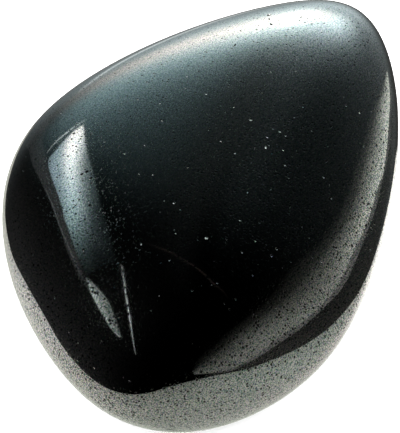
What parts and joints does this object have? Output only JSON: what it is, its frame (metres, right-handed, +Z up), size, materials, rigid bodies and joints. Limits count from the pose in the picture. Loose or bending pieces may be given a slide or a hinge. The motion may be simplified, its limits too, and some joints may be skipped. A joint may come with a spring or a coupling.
{
  "type": "tumbled hematite stone",
  "caption": "Tumbled hematite pebble: a flat, smoothly rounded, polished dark stone with a broad round end and a narrow tip, lying on its flat side.",
  "frame": {"origin": "under the middle of the stone's box, on the surface that it rests on", "axes": "+X along the stone towards its narrow tip, +Z up through its flat side, +Y across it"},
  "size_m": [0.0356, 0.0264, 0.0117],
  "materials": {
    "polished_hematite": "polished"
  },
  "bodies": {
    "root": {"hematite_pebble": "polished_hematite"}
  },
  "joints": []
}
